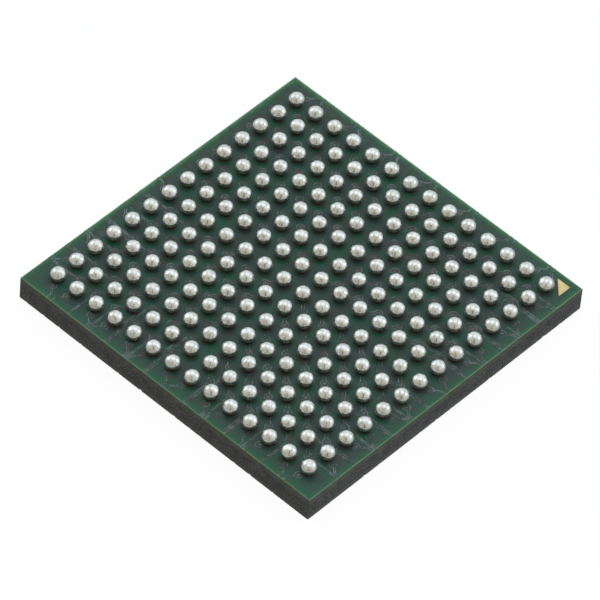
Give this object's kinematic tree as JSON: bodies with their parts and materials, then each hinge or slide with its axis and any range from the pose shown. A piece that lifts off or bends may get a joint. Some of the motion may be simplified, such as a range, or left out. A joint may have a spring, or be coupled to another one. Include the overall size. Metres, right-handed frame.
{
  "type": "ball grid array chip package",
  "caption": "Square moulded chip package, solder balls up: dark mould, green laminate, full grid of balls, gold corner mark, chip and wires inside.",
  "frame": {"origin": "middle of the flat moulded face, the lowest plane of the part as it lies with its balls up", "axes": "+Z out of the package through its balls, +X along the ball rows towards ball 1, +Y across the rows towards row A, so the gold mark is at the +X +Y corner"},
  "size_m": [0.012, 0.012, 0.0013],
  "materials": {
    "mould": "dark filled epoxy, sawn at the sides",
    "laminate": "sawn glass and resin board",
    "green_mask": "satin green solder mask",
    "solder": "bright reflowed tin alloy",
    "gold": "satin gold plating",
    "copper": "etched copper foil",
    "silicon": "polished silicon",
    "film": "soft adhesive film"
  },
  "bodies": {
    "root": {"ball_pads_row_a": "copper", "ball_pads_row_b": "copper", "ball_pads_row_c": "copper", "ball_pads_row_d": "copper", "ball_pads_row_e": "copper", "ball_pads_row_f": "copper", "ball_pads_row_g": "copper", "ball_pads_row_h": "copper", "ball_pads_row_j": "copper", "ball_pads_row_k": "copper", "ball_pads_row_l": "copper", "ball_pads_row_m": "copper", "ball_pads_row_n": "copper", "ball_pads_row_p": "copper", "bond_fingers_minus_x": "gold", "bond_fingers_minus_y": "gold", "bond_fingers_plus_x": "gold", "bond_fingers_plus_y": "gold", "bond_wires_minus_x": "gold", "bond_wires_minus_y": "gold", "bond_wires_plus_x": "gold", "bond_wires_plus_y": "gold", "core_vias": "copper", "die_attach_film": "film", "die_plane": "copper", "laminate_core": "laminate", "mould_cap": "mould", "pin_one_mark": "gold", "silicon_die": "silicon", "solder_balls_row_a": "solder", "solder_balls_row_b": "solder", "solder_balls_row_c": "solder", "solder_balls_row_d": "solder", "solder_balls_row_e": "solder", "solder_balls_row_f": "solder", "solder_balls_row_g": "solder", "solder_balls_row_h": "solder", "solder_balls_row_j": "solder", "solder_balls_row_k": "solder", "solder_balls_row_l": "solder", "solder_balls_row_m": "solder", "solder_balls_row_n": "solder", "solder_balls_row_p": "solder", "solder_mask_ball_side": "green_mask", "solder_mask_die_side": "green_mask", "spare_lands": "copper", "supply_frame": "copper"}
  },
  "joints": []
}
